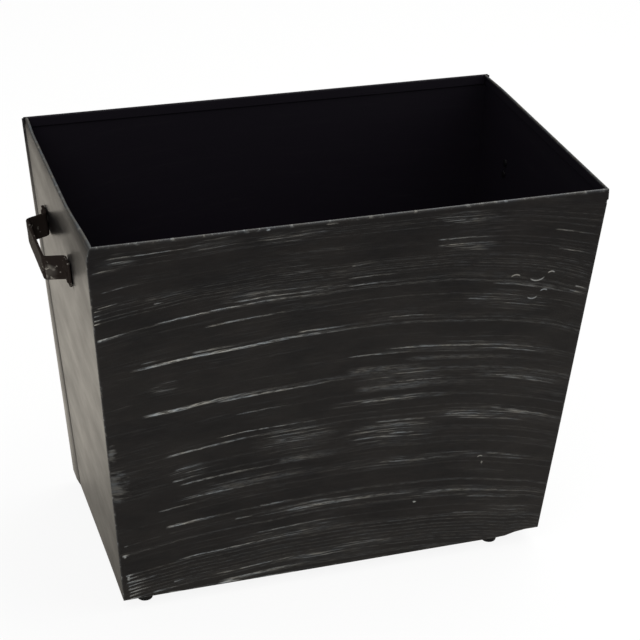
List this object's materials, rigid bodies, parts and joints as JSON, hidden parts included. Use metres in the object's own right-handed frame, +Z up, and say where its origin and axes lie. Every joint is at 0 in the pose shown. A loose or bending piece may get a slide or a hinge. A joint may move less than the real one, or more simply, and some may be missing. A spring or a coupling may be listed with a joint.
{
  "type": "log storage box",
  "caption": "Open-topped tapered sheet-steel box for firewood, with a folded rim, a riveted strap handle on each end and rubber feet.",
  "frame": {"origin": "on the ground, below the middle of the box", "axes": "+Z up, +X along the box to its right end, +Y from the front to the back"},
  "size_m": [0.515, 0.2998, 0.4001],
  "materials": {
    "black_paint": "satin black paint, dry-brushed with silver",
    "handle_paint": "satin black paint, worn to a metallic shine on its edges",
    "rubber": "matt moulded rubber",
    "zinc_steel": "zinc plated"
  },
  "bodies": {
    "root": {"front_wall": "black_paint", "back_wall": "black_paint", "left_end_wall": "black_paint", "right_end_wall": "black_paint", "floor_tray": "black_paint", "left_handle": "handle_paint", "right_handle": "handle_paint", "left_handle_front_upper_rivet": "handle_paint", "left_handle_front_lower_rivet": "handle_paint", "left_handle_back_upper_rivet": "handle_paint", "left_handle_back_lower_rivet": "handle_paint", "right_handle_front_upper_rivet": "handle_paint", "right_handle_front_lower_rivet": "handle_paint", "right_handle_back_upper_rivet": "handle_paint", "right_handle_back_lower_rivet": "handle_paint", "front_left_foot": "rubber", "front_right_foot": "rubber", "back_left_foot": "rubber", "back_right_foot": "rubber", "front_left_foot_washer": "zinc_steel", "front_right_foot_washer": "zinc_steel", "back_left_foot_washer": "zinc_steel", "back_right_foot_washer": "zinc_steel", "front_left_foot_screw": "zinc_steel", "front_right_foot_screw": "zinc_steel", "back_left_foot_screw": "zinc_steel", "back_right_foot_screw": "zinc_steel", "front_left_foot_nut": "zinc_steel", "front_right_foot_nut": "zinc_steel", "back_left_foot_nut": "zinc_steel", "back_right_foot_nut": "zinc_steel"}
  },
  "joints": []
}
